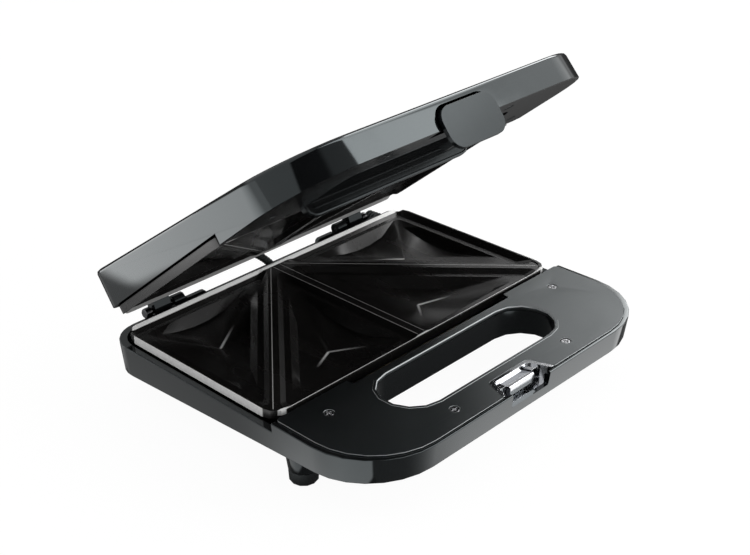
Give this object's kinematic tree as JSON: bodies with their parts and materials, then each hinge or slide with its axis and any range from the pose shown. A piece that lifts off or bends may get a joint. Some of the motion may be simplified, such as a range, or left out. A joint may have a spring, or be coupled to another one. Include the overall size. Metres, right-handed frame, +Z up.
{
  "type": "sandwich maker",
  "caption": "Sandwich maker, open: hinged lid, plates with triangular wells, handle with a hand hole, snap latch, lamps on the lid and stub feet.",
  "frame": {"origin": "on the surface the feet stand on, under the middle of the box of the object with its lid open", "axes": "+X to the user's right and along the hinge, +Y from the handle to the hinge, +Z up"},
  "size_m": [0.2368, 0.2266, 0.1825],
  "materials": {
    "gloss_black": "glossy moulded plastic",
    "satin_black": "satin moulded plastic",
    "panel_black": "smooth moulded plastic",
    "latch_grey": "glossy dark grey plastic",
    "non_stick": "non-stick coating on die-cast aluminium",
    "chrome": "bright plated",
    "steel": "zinc-plated steel",
    "element_steel": "heat-darkened sheath",
    "thermostat_body": "ceramic and tinned brass, shown as one tone",
    "fuse_body": "ceramic tube",
    "block_body": "heat-resistant plastic",
    "rubber": "black rubber",
    "green_lens": "clear green lens",
    "red_lens": "clear red lens"
  },
  "bodies": {
    "base": {"base_shell": "gloss_black", "handle_panel": "panel_black", "panel_screw_front_left": "steel", "panel_screw_front_right": "steel", "panel_screw_rear_left": "steel", "panel_screw_rear_right": "steel", "lower_plate": "non_stick", "plate_screw_front": "steel", "plate_screw_rear": "steel", "lower_heating_element": "element_steel", "lower_thermostat": "thermostat_body", "thermal_fuse": "fuse_body", "terminal_block": "block_body", "catch_insert": "chrome", "front_foot_left": "rubber", "front_foot_right": "rubber", "rear_foot_left": "rubber", "rear_foot_right": "rubber", "cord_gland": "rubber", "hinge_pin_left": "steel", "hinge_pin_right": "steel", "wire_sleeve": "rubber"},
    "lid": {"lid_cover": "gloss_black", "lid_frame": "satin_black", "frame_screw_front_left": "steel", "frame_screw_front_right": "steel", "frame_screw_rear_left": "steel", "frame_screw_rear_right": "steel", "upper_plate": "non_stick", "upper_heating_element": "element_steel", "upper_thermostat": "thermostat_body", "ready_lamp": "green_lens", "power_lamp": "red_lens", "lamp_bezel": "satin_black", "top_stud": "rubber", "latch_pin": "steel", "latch_spring": "steel"},
    "latch": {"latch": "latch_grey"}
  },
  "joints": [
    {"name": "lid_hinge", "type": "hinge", "parent": "base", "child": "lid", "pos_m": [0, 0.09825, 0.0353], "axis": [-1, 0, 0], "range_deg": [-38.7, 66], "deforming": ["wire_sleeve"]},
    {"name": "latch_pivot", "type": "hinge", "parent": "lid", "child": "latch", "pos_m": [0, -0.05704, 0.17429], "axis": [-1, 0, 0], "range_deg": [0, 12], "stiffness_Nm_per_rad": 0.15, "springref_deg": -20.05}
  ]
}
